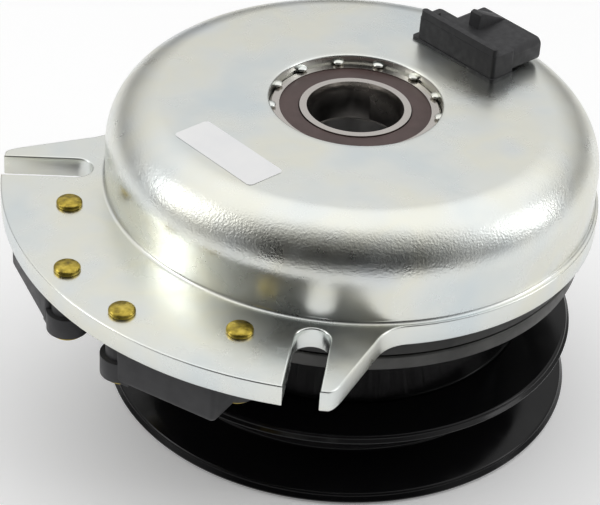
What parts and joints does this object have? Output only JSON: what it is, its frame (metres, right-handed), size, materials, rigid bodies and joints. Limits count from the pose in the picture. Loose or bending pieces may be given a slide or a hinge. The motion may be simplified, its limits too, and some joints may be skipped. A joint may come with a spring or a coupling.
{
  "type": "electromagnetic clutch",
  "caption": "Engine-driven power take-off clutch: a zinc steel field cup with a slotted lug and socket, over a rotor, armature and black V-belt pulley.",
  "frame": {"origin": "on the crankshaft axis, in the plane of the rotor's friction face", "axes": "+Z along the crankshaft towards the engine and the bearing seen in the field cup's eye; -X through the middle of the slotted lug; +X through the connector"},
  "size_m": [0.183, 0.153, 0.1093],
  "materials": {
    "zinc_steel": "bright zinc plate, slightly rough",
    "pole_steel": "machined low-carbon steel",
    "shoe_steel": "matt dark phosphate",
    "rotor_steel": "dark oxide",
    "armature_steel": "ground steel",
    "bearing_steel": "ground bearing steel",
    "ball_steel": "polished",
    "seal_rubber": "brown nitrile",
    "brass": "brass-plated rivet",
    "shim_brass": "rolled brass shim",
    "magnet": "sintered ferrite",
    "copper": "enamelled copper wire",
    "bobbin_nylon": "glass-filled nylon",
    "potting": "cast epoxy",
    "connector_nylon": "moulded black nylon",
    "terminal_tin": "tinned brass blade",
    "label_film": "white vinyl film, blank",
    "lining": "pressed friction material",
    "pulley_paint": "gloss black enamel",
    "spring_steel": "blued spring steel",
    "rivet_steel": "plain steel rivet"
  },
  "bodies": {
    "field": {"field_shell": "zinc_steel", "inner_pole": "pole_steel", "coil_winding": "copper", "coil_bobbin": "bobbin_nylon", "coil_potting": "potting", "coil_leads": "copper", "connector_housing": "connector_nylon", "connector_terminals": "terminal_tin", "blank_label": "label_film", "field_bearing_outer_race": "bearing_steel", "field_bearing_seal_upper": "seal_rubber", "field_bearing_seal_lower": "seal_rubber", "brake_shoe_a": "shoe_steel", "brake_shoe_b": "shoe_steel", "brake_magnet_a": "magnet", "brake_magnet_b": "magnet", "brake_shim_a": "shim_brass", "brake_shim_b": "shim_brass", "brake_rivets": "brass"},
    "rotor": {"rotor_hub": "pole_steel", "rotor_plate": "rotor_steel", "friction_lining": "lining", "hub_snap_ring": "spring_steel", "field_bearing_inner_race": "bearing_steel", "pulley_bearing_inner_race": "bearing_steel"},
    "field_cage": {"field_bearing_cage": "rivet_steel", "field_bearing_balls": "ball_steel"},
    "pulley_cage": {"pulley_bearing_cage": "rivet_steel", "pulley_bearing_balls": "ball_steel"},
    "pulley": {"pulley_drum": "pulley_paint", "pulley_upper_flange": "pulley_paint", "pulley_lower_flange": "pulley_paint", "pulley_web": "pulley_paint", "bearing_carrier": "pole_steel", "carrier_retaining_ring": "spring_steel", "spring_rivets": "rivet_steel", "pulley_bearing_outer_race": "bearing_steel", "pulley_bearing_seal_upper": "seal_rubber", "pulley_bearing_seal_lower": "seal_rubber", "leaf_spring_1": "spring_steel", "leaf_spring_2": "spring_steel", "leaf_spring_3": "spring_steel"},
    "armature": {"armature_plate": "armature_steel", "armature_rivets": "rivet_steel"}
  },
  "joints": [
    {"name": "rotor_spin", "type": "hinge", "parent": "field", "child": "rotor", "pos_m": [0, 0, 0], "axis": [0, 0, 1], "continuous": true},
    {"name": "field_cage_spin", "type": "hinge", "parent": "field", "child": "field_cage", "pos_m": [0, 0, 0.032], "axis": [0, 0, 1], "continuous": true},
    {"name": "pulley_spin", "type": "hinge", "parent": "rotor", "child": "pulley", "pos_m": [0, 0, -0.042], "axis": [0, 0, 1], "continuous": true},
    {"name": "pulley_cage_spin", "type": "hinge", "parent": "rotor", "child": "pulley_cage", "pos_m": [0, 0, -0.042], "axis": [0, 0, 1], "continuous": true},
    {"name": "armature_slide", "type": "slide", "parent": "pulley", "child": "armature", "axis": [0, 0, 1], "range_m": [0, 0.0004], "deforming": ["leaf_spring_1", "leaf_spring_2", "leaf_spring_3"]}
  ],
  "couplings": [
    {"joint": "field_cage_spin", "follows": "rotor_spin", "ratio": 0.406},
    {"joint": "pulley_cage_spin", "follows": "pulley_spin", "ratio": 0.5571}
  ]
}
